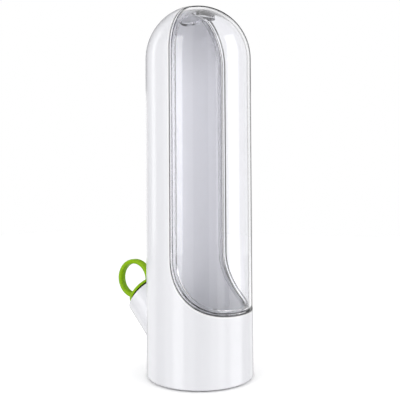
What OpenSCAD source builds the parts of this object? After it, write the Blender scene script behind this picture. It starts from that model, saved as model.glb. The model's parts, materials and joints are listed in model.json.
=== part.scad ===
// Herb keeper: a white back shell that stands on its foot, a clear front cover that hooks in at the
// foot and tilts open, a water cup in the foot, and a filler spout on the back with a soft plug.
// The window and the cover face -Y, the spout faces +Y, and the tube's axis is Z. Millimetres.

/* [Body] */
// Outside diameter of the tube
body_d = 70; // [60:1:90]
// Height to the top of the dome
body_h = 243; // [200:1:300]
// Wall of the white shell
shell_wall = 2.2; // [1.6:0.1:3]
// Height of the shell's lower edge above the surface it stands on
shell_lift = 0.8; // [0.4:0.1:2]
// Rounding of the shell's lower edge
foot_round = 1.2; // [0.4:0.1:1.4]

/* [Window] */
// Height of the window's lowest point, at the front
window_foot = 43.5; // [40:0.5:60]
// Radius of the curve that joins the window's foot to its upright edges
window_round = 35; // [20:1:45]
// Gap at the seam between the shell and the cover
seam_gap = 0.3; // [0.3:0.05:0.6]

/* [Front cover] */
// Wall of the clear cover
cover_wall = 2; // [1.6:0.1:3]
// How far the cover's outside lies inside the shell's outside
cover_inset = 0.35; // [0.2:0.05:0.6]
// Thickness of the lip that reaches behind the shell's edge
lip_wall = 1.4; // [1:0.1:2]
// How far the lip reaches behind the shell's edge
lip_reach = 2.5; // [1.5:0.1:3]
// Width of the lip's root inside the cover
lip_root = 3; // [2:0.1:5]
// Clearance between the lip and the inside of the shell
lip_gap = 0.6; // [0.5:0.05:0.9]
// Height of the shelf along the cover's foot
shelf_h = 2.6; // [1.5:0.1:5]
// Width of that shelf, inwards from the cover's wall
shelf_w = 3.2; // [2:0.1:6]
// Depth of the hooks below the window's foot
hook_depth = 5.5; // [3:0.1:6]
// Width of each hook
hook_w = 8; // [5:0.5:10]
// Distance between the middles of the two hooks
hook_spacing = 20; // [14:1:26]
// Thickness of the tongue at the cover's top
tongue_t = 3; // [2:0.1:4]
// Width of the tongue
tongue_w = 14; // [8:1:20]
// How far the tongue reaches in under the shell's dome
tongue_reach = 13; // [8:0.5:14]
// How far the tongue runs forward inside the cover
tongue_root = 12; // [10:0.5:14]
// Clearance between the tongue and the shell's edge as the cover swings
swing_gap = 0.4; // [0.3:0.05:0.8]

/* [Water cup] */
// Height of the cup's rim
cup_rim_h = 32; // [24:0.5:33]
// Wall of the cup
cup_wall = 1.6; // [1.2:0.1:2.5]
// Thickness of the cup's floor
cup_floor = 2.6; // [2.2:0.1:4]
// Height of the floor's underside above the shell's lower edge
cup_recess = 0.4; // [0.2:0.1:2]
// Clearance between the cup and the inside of the shell
cup_gap = 0.15; // [0.1:0.05:0.3]
// Height of the stop inside the shell that the cup's rim meets
stop_h = 1.5; // [1:0.1:2.5]
// Width of that stop
stop_w = 1.4; // [1:0.1:2]

/* [Foot pad] */
// Diameter of the non-slip foot pad
foot_pad_d = 56; // [40:1:56]
// Depth of its seat in the cup's floor
pad_seat = 1; // [0.6:0.1:1.2]
// Clearance round the pad in its seat
pad_gap = 0.1; // [0.05:0.05:0.3]

/* [Filler spout] */
// Outside diameter of the spout
spout_d = 26.2; // [24:0.2:29]
// Elevation of the spout's axis above level
spout_rise = 50; // [46:1:54]
// Elevation of the mouth's axis above level
mouth_rise = 38; // [34:1:42]
// Height of the mouth's middle
mouth_h = 49; // [48:0.5:56]
// Distance from the shell to the upper edge of the mouth's rim
mouth_off = 2.8; // [2:0.1:5]
// Diameter of the water's passage
passage_d = 18; // [14:0.2:19]
// Diameter of the straight bore at the mouth, which holds the plug
mouth_bore_d = 17; // [15:0.2:17.6]
// Depth of that bore
mouth_bore_depth = 8; // [7.5:0.5:10]
// Wall of the spigot that seats in the shell's hole
spigot_wall = 1.4; // [1:0.1:2]
// Clearance between the spigot and the shell's hole
spigot_gap = 0.1; // [0.05:0.05:0.3]

/* [Plug] */
// How far the plug's axis lies above the mouth's middle
plug_shift = 1.5; // [0:0.1:2]
// Diameter of the plug's flange
flange_d = 22.8; // [21:0.2:24]
// Thickness of the flange at its edge
flange_t = 2.5; // [1.5:0.1:3]
// Extra thickness of the flange at its crown
flange_crown = 0.7; // [0.2:0.1:1]
// Gap between the flange and the mouth's rim
flange_gap = 1.3; // [0.4:0.1:1.6]
// Diameter of the shoulder that seats on the rim
shoulder_d = 19; // [18:0.2:20.6]
// Clearance under the shoulder
shoulder_gap = 0.05; // [0.05:0.05:0.2]
// Length of the stopper below the rim
stopper_len = 7; // [5:0.5:7.5]
// Wall of the hollow stopper
stopper_wall = 2.6; // [1.5:0.1:4]
// How far the sealing beads stand out of the stopper
bead_h = 0.6; // [0.3:0.05:1]
// Clearance between the sealing beads and the bore
bead_gap = 0.06; // [0.03:0.01:0.1]
// Outside diameter of the pull ring
pull_d = 27.4; // [24:0.2:30]
// Thickness of the pull ring's band
pull_t = 3.2; // [2.4:0.1:4]
// Width of the pull ring's band
pull_w = 5.8; // [4.2:0.1:8]
// Height of the ring's middle above the mouth's rim
pull_rise = 12.9; // [12:0.1:14]
// How far the ring's middle lies above the plug's axis
pull_shift = 2.2; // [0:0.1:3]

/* [Hidden] */
$fn = 96;
eps = 0.01;
// How far a shape that cuts runs past what it cuts
past = 1;
body_r = body_d / 2;
shell_in_r = body_r - shell_wall;
dome_z = body_h - body_r;
far = 2 * body_h;

cup_r = shell_in_r - cup_gap;
cup_base_z = shell_lift + cup_recess;

spout_r = spout_d / 2;
flange_r = flange_d / 2;
stopper_r = mouth_bore_d / 2 - bead_gap - bead_h;
spigot_r = passage_d / 2 + spigot_wall;
// Half the length of the mouth's rim, which slants across the spout
rim_r = spout_r / cos(spout_rise - mouth_rise);
mouth_y = body_r + mouth_off + rim_r * sin(mouth_rise);
// Places of the sealing beads, as shares of the stopper's length
bead_places = [0.3, 0.7];
// The flange's crown is a low cap of a ball
crown_edge_r = flange_r - flange_t / 2;
crown_ball_r = (crown_edge_r ^ 2 + flange_crown ^ 2) / (2 * flange_crown);

cover_r = body_r - cover_inset;
cover_in_r = cover_r - cover_wall;
lip_r = shell_in_r - lip_gap;
lip_in_r = lip_r - lip_wall;
// Height of the shell's inner edge over the sides of the tongue
tongue_edge_z = dome_z + sqrt(shell_in_r ^ 2 - (tongue_w / 2) ^ 2);
// The cover swings about its foot, and the tongue passes that edge inside this radius
swing_r = norm([body_r, tongue_edge_z - window_foot]) - swing_gap;

// A closed capsule: a tube of radius r from height z0 with a half ball on top
module capsule(r, z0) {
    translate([0, 0, z0])
        cylinder(r = r, h = dome_z - z0);
    translate([0, 0, dome_z])
        sphere(r = r);
}

// A capsule's wall between two radii, open below at z0
module capsule_wall(outer, inner, z0) {
    difference() {
        capsule(outer, z0);
        capsule(inner, z0 - past);
        translate([0, 0, z0 - far])
            cylinder(r = outer + past, h = far);
    }
}

// The window seen from the side, drawn in by d all along its edge; x is -Y and y is up
module window_side(d) {
    difference() {
        translate([d, window_foot + d])
            square([body_d, far]);
        translate([d - eps, 0])
            square([window_round - d + eps, window_foot + window_round]);
    }
    intersection() {
        translate([window_round, window_foot + window_round])
            circle(r = window_round - d);
        translate([d, 0])
            square([window_round - d + eps, window_foot + window_round + eps]);
    }
}

// The space in front of the window's edge, straight through along X
module window_space(d) {
    rotate([90, 0, -90])
        linear_extrude(height = 2 * body_d, center = true)
            window_side(d);
}

// Moves to the middle of the spout's mouth, with Z along an axis of the given elevation
module at_mouth(rise) {
    translate([0, mouth_y, mouth_h])
        rotate([rise - 90, 0, 0])
            children();
}

// Moves to the plug's axis at the mouth's rim
module at_plug() {
    at_mouth(mouth_rise)
        translate([0, -plug_shift, 0])
            children();
}

// A rod of radius r along the spout's axis, from inside the tube to past the mouth
module spout_rod(r) {
    at_mouth(spout_rise)
        translate([0, 0, -body_d])
            cylinder(r = r, h = 2 * body_d);
}

// The half of space behind the tube's axis
module rear_half() {
    translate([-far, 0, -far])
        cube([2 * far, far, 2 * far]);
}

// White back of the tube and dome, with a full skirt round the foot and the J-edged window
module shell() {
    color("white")
        difference() {
            union() {
                difference() {
                    capsule_wall(body_r, shell_in_r, shell_lift);
                    window_space(0);
                }
                shell_stop();
            }
            foot_rounding();
            intersection() {
                spout_rod(spigot_r + spigot_gap);
                rear_half();
            }
            stopper_way();
        }
}

// The room that the plug's stopper needs below the mouth
module stopper_way() {
    at_plug()
        translate([0, 0, -stopper_len])
            cylinder(r = mouth_bore_d / 2, h = stopper_len);
}

// Ledge inside the shell that the cup's rim meets
module shell_stop() {
    translate([0, 0, cup_rim_h])
        rotate_extrude()
            translate([shell_in_r - stop_w, 0])
                polygon([
                    [0, 0],
                    [stop_w + eps, 0],
                    [stop_w + eps, stop_h + stop_w],
                    [0, stop_h]
                ]);
}

// What the round lower edge takes off the shell
module foot_rounding() {
    translate([0, 0, shell_lift])
        rotate_extrude()
            translate([body_r - foot_round, 0])
                difference() {
                    translate([0, -eps])
                        square([foot_round + past, foot_round + eps]);
                    translate([0, foot_round])
                        circle(r = foot_round);
                }
}

// Filler spout: a leaning tube bonded to the shell's outside, with a spigot through its wall
module filler_spout() {
    color("white")
        difference() {
            intersection() {
                union() {
                    difference() {
                        spout_rod(spout_r);
                        translate([0, 0, -far])
                            cylinder(r = body_r, h = 2 * far);
                    }
                    difference() {
                        spout_rod(spigot_r);
                        translate([0, 0, -far])
                            cylinder(r = shell_in_r, h = 2 * far);
                    }
                }
                rear_half();
            }
            at_mouth(mouth_rise)
                cylinder(r = body_d, h = 2 * body_d);
            spout_rod(passage_d / 2);
            at_plug()
                translate([0, 0, -mouth_bore_depth])
                    cylinder(r = mouth_bore_d / 2, h = mouth_bore_depth + past);
        }
}

// Cup that holds the water and closes the shell's foot; its rear wall lets the spout's water in
module water_cup() {
    color("gainsboro")
        union() {
            difference() {
                cup_wall_tube();
                intersection() {
                    spout_rod(passage_d / 2);
                    rear_half();
                }
            }
            difference() {
                translate([0, 0, cup_base_z])
                    cylinder(r = cup_r, h = cup_floor);
                translate([0, 0, cup_base_z - past])
                    cylinder(r = foot_pad_d / 2 + pad_gap, h = pad_seat + past);
            }
        }
}

// The cup's wall, from its base to its rim
module cup_wall_tube() {
    translate([0, 0, cup_base_z])
        difference() {
            cylinder(r = cup_r, h = cup_rim_h - cup_base_z);
            translate([0, 0, -past])
                cylinder(r = cup_r - cup_wall, h = body_h);
        }
}

// Soft round pad that the keeper stands on, seated in the cup's floor
module foot_pad() {
    color("silver")
        cylinder(r = foot_pad_d / 2, h = cup_base_z + pad_seat);
}

// Clear front half of the tube and dome, with its lip, its foot shelf, its two hooks and its top tongue
module front_cover() {
    color("lightblue", 0.4)
        union() {
            intersection() {
                capsule_wall(cover_r, cover_in_r, shell_lift);
                window_space(seam_gap);
            }
            cover_lip();
            cover_shelf();
            for (side = [-1, 1])
                cover_hook(side * hook_spacing / 2);
            cover_tongue();
        }
}

// Lip along the cover's edge that reaches behind the shell's edge
module cover_lip() {
    difference() {
        union() {
            intersection() {
                capsule_wall(lip_r, lip_in_r, shell_lift);
                window_space(-lip_reach);
            }
            intersection() {
                capsule_wall(cover_in_r + eps, lip_in_r, shell_lift);
                window_space(seam_gap);
            }
        }
        window_space(lip_root);
    }
}

// Shelf along the cover's foot, which stiffens it
module cover_shelf() {
    intersection() {
        translate([0, 0, window_foot])
            difference() {
                cylinder(r = cover_in_r + eps, h = shelf_h + seam_gap);
                translate([0, 0, -past])
                    cylinder(r = cover_in_r - shelf_w, h = shelf_h + seam_gap + 2 * past);
            }
        window_space(seam_gap);
    }
}

// One hook that reaches down inside the shell's front wall
module cover_hook(x) {
    intersection() {
        translate([0, 0, window_foot - hook_depth])
            difference() {
                cylinder(r = lip_r, h = hook_depth + shelf_h);
                translate([0, 0, -past])
                    cylinder(r = lip_in_r, h = hook_depth + shelf_h + 2 * past);
            }
        translate([x - hook_w / 2, -body_d, 0])
            cube([hook_w, body_d, body_h]);
    }
}

// Tongue at the cover's top that tucks in under the shell's dome and keeps the cover's top in line
module cover_tongue() {
    intersection() {
        union() {
            intersection() {
                capsule_wall(lip_r, lip_r - tongue_t, dome_z);
                swing_room();
            }
            intersection() {
                capsule_wall(cover_in_r + eps, lip_r - tongue_t, dome_z);
                window_space(seam_gap);
            }
        }
        translate([0, 0, dome_z])
            linear_extrude(height = body_d)
                tongue_plan();
    }
}

// The tongue seen from above, with round ends; the seam is at y = 0
module tongue_plan() {
    end = tongue_w / 2;
    translate([-end, end - tongue_root])
        square([tongue_w, tongue_root + tongue_reach - tongue_w]);
    for (y = [end - tongue_root, tongue_reach - end])
        translate([0, y])
            circle(r = end);
}

// What the shell's upper edge leaves free as the cover swings about its foot
module swing_room() {
    translate([0, -body_r, window_foot])
        rotate([0, 90, 0])
            cylinder(r = swing_r, h = 2 * body_d, center = true);
}

// Soft plug in one moulding: hollow stopper with two beads, flange and pull ring
module refill_plug() {
    color("yellowgreen")
        at_plug()
            union() {
                plug_body();
                plug_pull();
            }
}

// The plug's turned body
module plug_body() {
    rotate_extrude()
        difference() {
            union() {
                translate([0, -stopper_len])
                    square([stopper_r, stopper_len + flange_gap + eps]);
                translate([0, shoulder_gap])
                    square([shoulder_d / 2, flange_gap]);
                flange_profile();
                for (share = bead_places)
                    translate([stopper_r, -stopper_len * share])
                        circle(r = bead_h);
            }
            translate([-eps, -stopper_len - eps])
                square([stopper_r - stopper_wall + eps, stopper_len - stopper_wall]);
            translate([-body_d, -body_d])
                square([body_d, 2 * body_d]);
        }
}

// Half of the flange: flat below, with a round edge and a low crown
module flange_profile() {
    translate([0, flange_gap]) {
        square([crown_edge_r, flange_t]);
        translate([crown_edge_r, flange_t / 2])
            circle(r = flange_t / 2);
        intersection() {
            translate([0, flange_t + flange_crown - crown_ball_r])
                circle(r = crown_ball_r);
            translate([0, flange_t - eps])
                square([crown_edge_r, flange_crown + eps]);
        }
    }
}

// The pull ring: a band with round edges that stands in the keeper's middle plane
module plug_pull() {
    difference() {
        translate([0, -pull_shift, pull_rise])
            rotate([0, 90, 0])
                rotate_extrude()
                    translate([(pull_d - pull_t) / 2, 0])
                        pull_section();
        translate([0, 0, flange_gap + eps - far])
            cylinder(r = body_d, h = far);
    }
}

// Section of the ring's band
module pull_section() {
    square([pull_t, pull_w - pull_t], center = true);
    for (side = [-1, 1])
        translate([0, side * (pull_w - pull_t) / 2])
            circle(d = pull_t);
}

shell();
filler_spout();
water_cup();
foot_pad();
front_cover();
refill_plug();
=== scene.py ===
"""Herb keeper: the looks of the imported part.

Lengths are metres, in the part's own frame: the window faces -Y, and +Z is up.
"""
import json
import math

import bpy
from mathutils import Matrix, Vector


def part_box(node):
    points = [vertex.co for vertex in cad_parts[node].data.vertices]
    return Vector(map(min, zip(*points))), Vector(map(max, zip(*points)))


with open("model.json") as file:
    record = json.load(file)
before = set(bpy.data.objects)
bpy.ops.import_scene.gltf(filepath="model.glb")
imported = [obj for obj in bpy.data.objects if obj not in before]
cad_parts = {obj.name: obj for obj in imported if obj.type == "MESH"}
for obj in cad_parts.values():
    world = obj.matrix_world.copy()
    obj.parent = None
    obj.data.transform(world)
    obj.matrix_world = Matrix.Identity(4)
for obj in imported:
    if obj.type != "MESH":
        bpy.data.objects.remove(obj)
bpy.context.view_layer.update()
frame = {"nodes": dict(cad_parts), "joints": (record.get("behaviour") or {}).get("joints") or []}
NODES = frame["nodes"]

MM = 0.001
UP = Vector((0, 0, 1))

# ---------------------------------------------------------------- camera, fitted to the photograph
IMAGE_PX = 400
SENSOR_MM = 36.0
CAMERA_FOCAL_PX = 553.4                # focal length in the photograph's pixels
CAMERA_CENTRE_PX = (199.16, 192.88)    # the photograph's pixel on the lens axis
CAMERA_DISTANCE = 0.3668               # from the tube's axis
CAMERA_HEIGHT = 0.1132
CAMERA_TURN = 1.0182                   # radians from the window's middle round to the camera
CAMERA_PITCH = -0.0181                 # radians below level; negative, so it looks up a little
CAMERA_ROLL = -0.0059                  # radians, in the image
CAMERA_NEAR = 0.01                     # nothing nearer than this is seen

# ---------------------------------------------------------------- places on the keeper
KEEPER_MIDDLE = 0.12                   # height that the lamps and cards face
FOOT_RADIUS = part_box("shell")[1][0]

# The window's edge seen from the side: a quarter round that runs up into a straight line at y = 0
WINDOW_FOOT = 43.5 * MM
WINDOW_ROUND = 35 * MM
WINDOW_STRAIGHT = WINDOW_FOOT + WINDOW_ROUND
SEAM_GAP = 0.3 * MM                    # from the window's edge in to the cover's

# The plug pulls out along this axis, and the spout's rim lies this far along it
PLUG_JOINT = next(j for j in frame["joints"] if j["name"] == "plug_pull")
PLUG_AXIS = Vector(PLUG_JOINT["axis"])
PLUG_RIM = 66.46 * MM

# ---------------------------------------------------------------- materials
# Colours are linear. A pair of lengths says where a change of colour starts and where it ends.
PLASTIC_IOR = 1.5
CLEAR_IOR = 1.49
SILICONE_IOR = 1.41
SILICONE_SPECULAR = 0.2
NOISE_SPREAD = (0.3, 0.7)              # most of a noise lies between these

PAINTED_EDGE_HIGHLIGHT = (0.97, 0.97, 0.98)        # painted highlight: the shell's edge round the window drawn paler
PAINTED_HIGHLIGHT_SPAN = (-0.9 * MM, -0.4 * MM)       # where the painted highlight lies, inside the window's edge

PAINTED_DARK_EDGE = (0.02, 0.02, 0.022)        # painted shade: the clear plastic darkened where seen edge-on, and along its cut edge
EDGE_ON_SPAN = (0.77, 0.86)            # of Layer Weight's Facing, which is 1 at the outline
CUT_EDGE_OUTSIDE = (-0.15 * MM, -0.05 * MM)    # inside the cover's edge: the painted dark band starts
CUT_EDGE_INSIDE = (0.25 * MM, 0.55 * MM)       # and ends
CUT_EDGE_WIDER = 0.45 * MM             # at the window's foot, down to none where it runs straight
HAZE_SPREAD = (0.35, 0.75)             # of the noise that clouds the clear plastic

PAINTED_GAP_SHADE = (0.012, 0.03, 0.001)       # painted shade: the plug darkened in the gap above the spout, and along its flange's low edge
GAP_START = (PLUG_RIM - 0.5 * MM, PLUG_RIM - 0.1 * MM)
GAP_END = (PLUG_RIM + 1.5 * MM, PLUG_RIM + 1.8 * MM)

# ---------------------------------------------------------------- light
# Angles are degrees round the tube, from the camera towards the right of the picture.
ROOM_ON_SURFACES = 0.64                # what the room gives to a matt surface
ROOM_SEEN = 1.0                        # what the camera, glass and gloss see of it
ROOM_INSIDE = 1.7                      # what it gives to one behind the cover, which holds some back
FLOOR_HALF = 1.5                       # from the middle to an edge
FLOOR_WHITE = 0.9
FLOOR_ROUGHNESS = 0.9
FLOOR_GLOW = 0.40                      # keeps the floor white away from the foot
FLOOR_GLOW_NEAR = 0.21                 # less glow beside the foot: painted shadow over the real one
FLOOR_SHADE = 26 * MM                  # how far from the foot the painted shadow reaches
FLOOR_RIM = 2 * MM                     # the glow starts within this of the foot's outline; none inside it paints a dark contact shadow over the real one
SOFTBOX_DISTANCE = 0.9
SOFTBOX_HEIGHT = 1.6                   # the floor hides what reaches below it from all but gloss
CARD_DISTANCE = 1.3
CARD_REACH = 65                        # degrees that a full card spans above and below the level
CARD_COLUMNS = 24


# ---------------------------------------------------------------- camera
def around(degrees):
    """The level direction from the tube's axis at an angle from the camera."""
    turn = CAMERA_TURN - math.radians(degrees)
    return Vector((-math.sin(turn), -math.cos(turn), 0))


def make_camera():
    """A camera at the photograph's viewing angle, distance and framing."""
    data = bpy.data.cameras.new("camera")
    data.sensor_width = SENSOR_MM
    data.lens = CAMERA_FOCAL_PX / IMAGE_PX * SENSOR_MM
    data.shift_x = (IMAGE_PX / 2 - CAMERA_CENTRE_PX[0]) / IMAGE_PX
    data.shift_y = (CAMERA_CENTRE_PX[1] - IMAGE_PX / 2) / IMAGE_PX
    data.clip_start = CAMERA_NEAR
    camera = bpy.data.objects.new("camera", data)
    bpy.context.scene.collection.objects.link(camera)
    towards = around(0)
    level = -towards
    forward = level * math.cos(CAMERA_PITCH) - UP * math.sin(CAMERA_PITCH)
    right = level.cross(UP)
    up = right.cross(forward)
    axes = Matrix((right, up, -forward)).transposed() @ Matrix.Rotation(CAMERA_ROLL, 3, "Z")
    place = towards * CAMERA_DISTANCE + UP * CAMERA_HEIGHT
    camera.matrix_world = Matrix.Translation(place) @ axes.to_4x4()
    bpy.context.scene.camera = camera


# ---------------------------------------------------------------- nodes
class Nodes:
    """A short way to add linked nodes to a material's or the world's node tree."""

    def __init__(self, tree):
        self.tree = tree

    def add(self, kind, inputs=None, **settings):
        """A new node. An input that is given a socket is linked to it, and any other is set."""
        node = self.tree.nodes.new(kind)
        for key, value in settings.items():
            setattr(node, key, value)
        for key, value in (inputs or {}).items():
            if isinstance(value, bpy.types.NodeSocket):
                self.tree.links.new(value, node.inputs[key])
            else:
                node.inputs[key].default_value = value
        return node

    def calculate(self, operation, first, second):
        """What a Math node makes of two numbers."""
        return self.add("ShaderNodeMath", {0: first, 1: second}, operation=operation).outputs[0]

    def between(self, factor, low, high, span=NOISE_SPREAD):
        """A number that goes from low to high as the factor goes through its span."""
        inputs = {"Value": factor, "From Min": span[0], "From Max": span[1],
                  "To Min": low, "To Max": high}
        return self.add("ShaderNodeMapRange", inputs).outputs["Result"]

    def seen_ray(self):
        """1 for a ray from the camera, from gloss or through glass, 0 for one from a matt surface."""
        path = self.add("ShaderNodeLightPath").outputs
        seen = self.calculate("MAXIMUM", path["Is Camera Ray"], path["Is Glossy Ray"])
        return self.calculate("MAXIMUM", seen, path["Is Transmission Ray"])


class Surface(Nodes):
    """A material on the Principled shader, in the part's own coordinates."""

    def __init__(self, name, **values):
        self.material = bpy.data.materials.new(name)
        self.material.use_nodes = True
        super().__init__(self.material.node_tree)
        self.shader = self.tree.nodes["Principled BSDF"]
        self.place = self.add("ShaderNodeTexCoord").outputs["Object"]
        for socket, value in values.items():
            self.shader.inputs[socket.replace("_", " ")].default_value = value

    def axis(self, name):
        """One coordinate of the point that is shaded."""
        return self.add("ShaderNodeSeparateXYZ", {"Vector": self.place}).outputs[name]

    def noise(self, size, detail=2, stretch=(1, 1, 1)):
        """Noise with lumps about `size` metres across; `stretch` draws it out along an axis."""
        scale = [1 / (size * s) for s in stretch]
        mapped = self.add("ShaderNodeMapping", {"Vector": self.place, "Scale": scale})
        inputs = {"Vector": mapped.outputs["Vector"], "Scale": 1.0, "Detail": detail}
        return self.add("ShaderNodeTexNoise", inputs).outputs["Fac"]

    def blend(self, factor, low, high):
        """A colour between two colours."""
        node = self.add("ShaderNodeMix", data_type="RGBA")
        self.tree.links.new(factor, node.inputs[0])
        for socket, colour in ((node.inputs[6], low), (node.inputs[7], high)):
            if isinstance(colour, bpy.types.NodeSocket):
                self.tree.links.new(colour, socket)
            else:
                socket.default_value = (*colour, 1)
        return node.outputs[2]

    def bump(self, height, depth):
        """Relief `depth` metres high."""
        inputs = {"Height": height, "Strength": 1.0, "Distance": depth}
        return self.add("ShaderNodeBump", inputs).outputs["Normal"]

    def drive(self, **sockets):
        """Links outputs to the shader's sockets."""
        for socket, output in sockets.items():
            self.tree.links.new(output, self.shader.inputs[socket.replace("_", " ")])

    def inside_window(self, gap):
        """How far a point lies inside the J-shaped edge of the window, drawn in by a gap."""
        below = self.calculate("SUBTRACT", WINDOW_STRAIGHT, self.axis("Z"))
        below = self.calculate("MAXIMUM", below, 0.0)
        behind = self.calculate("ADD", WINDOW_ROUND, self.axis("Y"))
        arm = self.add("ShaderNodeCombineXYZ", {"X": behind, "Y": below}).outputs["Vector"]
        arm = self.add("ShaderNodeVectorMath", {0: arm}, operation="LENGTH").outputs["Value"]
        return self.calculate("SUBTRACT", WINDOW_ROUND - gap, arm)


# ---------------------------------------------------------------- materials
def white_plastic():
    """Moulded white plastic, satin gloss: faint flow, slightly uneven gloss and a slow ripple.

    Its edge round the window is drawn paler, a painted highlight.
    """
    m = Surface("white_plastic", IOR=PLASTIC_IOR)
    flow = m.noise(size=30 * MM, detail=3, stretch=(1, 1, 4))
    body = m.blend(flow, low=(0.845, 0.847, 0.88), high=(0.868, 0.87, 0.90))
    # painted highlight: a paler band along the shell's edge round the window
    edge = m.between(m.inside_window(gap=0), low=0, high=1, span=PAINTED_HIGHLIGHT_SPAN)
    ripple = m.noise(size=25 * MM, detail=0)
    m.drive(Base_Color=m.blend(edge, low=body, high=PAINTED_EDGE_HIGHLIGHT),
            Roughness=m.between(m.noise(size=9 * MM, detail=4), low=0.15, high=0.20),
            Normal=m.bump(ripple, depth=0.03 * MM))
    return m.material


def clear_plastic():
    """Clear polished plastic with a faint haze and ripple.

    Painted shade darkens it where it is seen edge-on, and along its cut edge, where the painted
    dark band is wider towards the window's foot.
    """
    m = Surface("clear_plastic", IOR=CLEAR_IOR, Transmission_Weight=1.0)
    facing = m.add("ShaderNodeLayerWeight", {"Blend": 0.5}).outputs["Facing"]
    # painted shade: the outline darkened by how edge-on the surface is seen
    edge_on_shade = m.between(facing, low=0, high=1, span=EDGE_ON_SPAN)
    clear = m.blend(edge_on_shade, low=(0.945, 0.945, 0.965), high=PAINTED_DARK_EDGE)
    # painted shade: a dark band along the cover's cut edge, wider towards the window's foot
    inside = m.inside_window(gap=SEAM_GAP)
    wider = m.between(m.axis("Z"), low=CUT_EDGE_WIDER, high=0, span=(WINDOW_FOOT, WINDOW_STRAIGHT))
    depth = m.calculate("SUBTRACT", inside, wider)
    cut_edge_shade = m.calculate("MULTIPLY",
                           m.between(depth, low=1, high=0, span=CUT_EDGE_INSIDE),
                           m.between(inside, low=0, high=1, span=CUT_EDGE_OUTSIDE))
    haze = m.noise(size=14 * MM, detail=1)
    ripple = m.noise(size=26 * MM, detail=0, stretch=(1, 1, 2))
    m.drive(Base_Color=m.blend(cut_edge_shade, low=clear, high=PAINTED_DARK_EDGE),
            Roughness=m.between(haze, low=0.0, high=0.008, span=HAZE_SPREAD),
            Normal=m.bump(ripple, depth=0.02 * MM))
    return m.material


def cup_plastic():
    """The cup's plain moulded plastic, a little greyer and duller than the shell."""
    m = Surface("cup_plastic", IOR=PLASTIC_IOR)
    flow = m.noise(size=18 * MM, detail=3)
    m.drive(Base_Color=m.blend(flow, low=(0.80, 0.82, 0.835), high=(0.835, 0.85, 0.86)),
            Roughness=m.between(m.noise(size=6 * MM, detail=4), low=0.28, high=0.40),
            Normal=m.bump(m.noise(size=0.9 * MM), depth=0.01 * MM))
    return m.material


def pad_rubber():
    """Soft grey foot rubber with a fine matt grain."""
    m = Surface("pad_rubber", IOR=PLASTIC_IOR)
    cloud = m.noise(size=5 * MM, detail=5)
    m.drive(Base_Color=m.blend(cloud, low=(0.30, 0.30, 0.31), high=(0.38, 0.38, 0.39)),
            Roughness=m.between(m.noise(size=3 * MM), low=0.72, high=0.9),
            Normal=m.bump(m.noise(size=0.5 * MM, detail=4), depth=0.05 * MM))
    return m.material


def green_silicone():
    """Soft green silicone: deep colour and a satin skin with a fine grain.

    Painted shade darkens it in the narrow gap above the spout and along the flange's low edge.
    """
    m = Surface("green_silicone", IOR=SILICONE_IOR, Specular_IOR_Level=SILICONE_SPECULAR)
    cloud = m.noise(size=7 * MM, detail=3)
    body = m.blend(cloud, low=(0.255, 0.475, 0.003), high=(0.30, 0.53, 0.008))
    along = m.add("ShaderNodeVectorMath", {0: m.place, 1: PLUG_AXIS}, operation="DOT_PRODUCT")
    # painted shade: dark from the spout's rim to just past the flange's low edge
    gap = m.calculate("MULTIPLY",
                      m.between(along.outputs["Value"], low=0, high=1, span=GAP_START),
                      m.between(along.outputs["Value"], low=1, high=0, span=GAP_END))
    m.drive(Base_Color=m.blend(gap, low=body, high=PAINTED_GAP_SHADE),
            Roughness=m.between(m.noise(size=4 * MM, detail=4), low=0.24, high=0.34),
            Normal=m.bump(m.noise(size=3 * MM), depth=0.02 * MM))
    return m.material


def dress(node, material):
    """Gives a CAD node one material."""
    mesh = NODES[node].data
    mesh.materials.clear()
    mesh.materials.append(material)


# ---------------------------------------------------------------- stage
def stage_mesh(name, points, faces, surface):
    """A floor or card, which isn't part of the object."""
    mesh = bpy.data.meshes.new(name)
    mesh.from_pydata(points, [], faces)
    mesh.materials.append(surface.material)
    thing = bpy.data.objects.new(name, mesh)
    bpy.context.scene.collection.objects.link(thing)
    return thing


def make_floor():
    """A white floor that keeps the keeper's shadow, with painted shadow where its glow fades round the
    foot.
    """
    m = Surface("floor_paper", Base_Color=(FLOOR_WHITE, FLOOR_WHITE, FLOOR_WHITE, 1),
                Roughness=FLOOR_ROUGHNESS, Emission_Color=(1, 1, 1, 1))
    from_axis = m.add("ShaderNodeVectorMath", {0: m.place}, operation="LENGTH").outputs["Value"]
    # painted shadow: the glow fades towards the foot, darkening the floor round it beyond its real
    # shadow
    contact_shadow_fade = m.between(from_axis, low=0, high=1,
                         span=(FOOT_RADIUS - FLOOR_RIM, FOOT_RADIUS + FLOOR_RIM))
    painted_shadow_fade = m.between(from_axis, low=FLOOR_GLOW_NEAR, high=FLOOR_GLOW,
                           span=(FOOT_RADIUS, FOOT_RADIUS + FLOOR_SHADE))
    glow = m.calculate("MULTIPLY", contact_shadow_fade, painted_shadow_fade)
    m.drive(Emission_Strength=m.calculate("MULTIPLY", m.seen_ray(), glow))
    corners = [(FLOOR_HALF * x, FLOOR_HALF * y, 0) for x, y in ((-1, -1), (1, -1), (1, 1), (-1, 1))]
    floor = stage_mesh("floor", corners, [(0, 1, 2, 3)], m)
    floor.visible_glossy = False


def make_room():
    """A plain white room all round."""
    world = bpy.data.worlds.new("studio")
    world.use_nodes = True
    m = Nodes(world.node_tree)
    bounces = m.add("ShaderNodeLightPath").outputs["Diffuse Depth"]
    seen = m.between(bounces, low=ROOM_SEEN, high=ROOM_INSIDE, span=(0, 1))
    strength = m.between(m.seen_ray(), low=ROOM_ON_SURFACES, high=seen, span=(0, 1))
    background = m.tree.nodes["Background"]
    background.inputs["Color"].default_value = (1, 1, 1, 1)
    m.tree.links.new(strength, background.inputs["Strength"])
    bpy.context.scene.world = world


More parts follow.
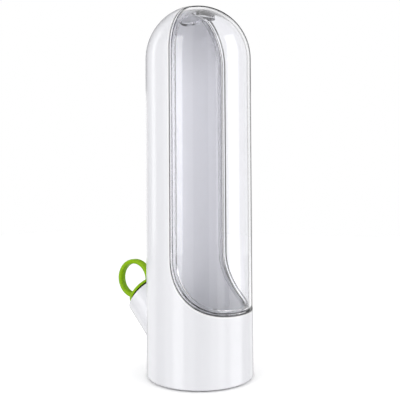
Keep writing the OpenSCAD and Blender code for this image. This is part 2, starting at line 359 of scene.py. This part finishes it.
def make_softbox(name, degrees, width, watts, height=SOFTBOX_HEIGHT, rise=0.0):
    """A soft lamp beside the keeper, its middle level with the keeper's or a rise above it."""
    data = bpy.data.lights.new(name, "AREA")
    data.shape = "RECTANGLE"
    data.size = width
    data.size_y = height
    data.energy = watts
    lamp = bpy.data.objects.new(name, data)
    bpy.context.scene.collection.objects.link(lamp)
    lamp.location = around(degrees) * SOFTBOX_DISTANCE + UP * (KEEPER_MIDDLE + rise)
    lamp.rotation_euler = (-around(degrees)).to_track_quat("-Z", "Y").to_euler()
    lamp.visible_camera = False


def make_card(name, degrees, half_width, low=-CARD_REACH, high=CARD_REACH, grey=0.0,
              through_glass=False):
    """A dark card bent round the keeper, seen only in gloss or only through glass.

    It spans half_width degrees to each side, and low to high degrees above the keeper's middle.
    Grey is how bright it is, from 0 for black to 1 for white.
    """
    points = []
    for i in range(CARD_COLUMNS + 1):
        side = around(degrees + half_width * (2 * i / CARD_COLUMNS - 1)) * CARD_DISTANCE
        for angle in (low, high):
            rise = CARD_DISTANCE * math.tan(math.radians(angle))
            points.append((side.x, side.y, KEEPER_MIDDLE + rise))
    faces = [(2 * i, 2 * i + 2, 2 * i + 3, 2 * i + 1) for i in range(CARD_COLUMNS)]
    m = Surface("flag_cloth", Base_Color=(0, 0, 0, 1), Roughness=1.0, Specular_IOR_Level=0.0,
                Emission_Color=(1, 1, 1, 1), Emission_Strength=grey)
    card = stage_mesh(name, points, faces, m)
    card.visible_camera = False
    card.visible_diffuse = False
    card.visible_shadow = False
    card.visible_glossy = not through_glass
    card.visible_transmission = through_glass


make_camera()
make_room()
make_floor()
make_softbox("softbox_left", degrees=-46, width=0.36, watts=4.8)
make_softbox("softbox_fill", degrees=45, width=0.25, watts=1.7)
make_softbox("softbox_right", degrees=80, width=0.50, watts=4.6)
make_softbox("softbox_back", degrees=-109, width=0.24, watts=0.75, height=0.9, rise=0.35)
make_card("flag_front", degrees=4, half_width=16)
make_card("flag_left", degrees=-92, half_width=14)
make_card("flag_right", degrees=160, half_width=12, grey=0.4)
make_card("flag_low", degrees=117, half_width=17, high=-7, grey=0.35)
make_card("flag_back", degrees=-134, half_width=14, low=-9, grey=0.4)
make_card("flag_spout", degrees=-165, half_width=15, low=-60, high=-10, grey=0.4)
make_card("flag_top", degrees=190, half_width=32, low=14, high=47)
make_card("card_top", degrees=186, half_width=22, low=33, high=38, through_glass=True)

white = white_plastic()
dress("shell", white)
dress("filler_spout", white)
dress("water_cup", cup_plastic())
dress("foot_pad", pad_rubber())
dress("front_cover", clear_plastic())
dress("refill_plug", green_silicone())

bpy.context.scene.view_settings.view_transform = "Standard"
